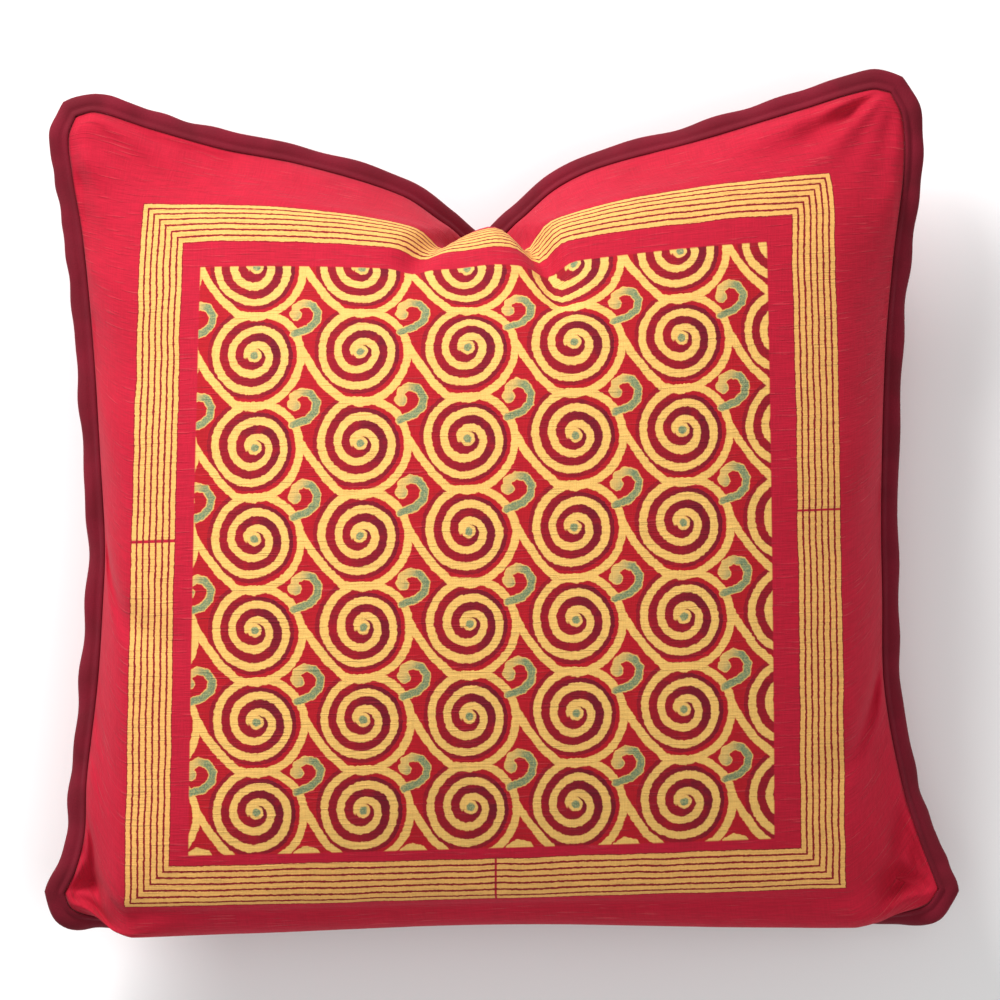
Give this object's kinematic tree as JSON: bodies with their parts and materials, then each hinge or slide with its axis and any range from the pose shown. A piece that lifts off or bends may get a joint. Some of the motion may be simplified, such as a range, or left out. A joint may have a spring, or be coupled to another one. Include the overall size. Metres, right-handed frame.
{
  "type": "flanged cushion cover, filled",
  "caption": "Filled square cushion cover with a block-printed spiral field, a striped border and a narrow sewn flange, lying on its back with a dent pressed in its top edge.",
  "frame": {"origin": "centre of the bounding box in plan, on the surface that the back rests on", "axes": "+Z is square out of the printed face, +Y is towards the edge with the dent, +X is that face's right"},
  "size_m": [0.4399, 0.4128, 0.14],
  "materials": {
    "printed_cotton": "matt slubby cotton, red with a yellow block print",
    "crimson_cotton": "matt cotton with a slight sheen, dark crimson"
  },
  "bodies": {
    "root": {"cushion": "printed_cotton", "flange": "crimson_cotton"}
  },
  "joints": []
}
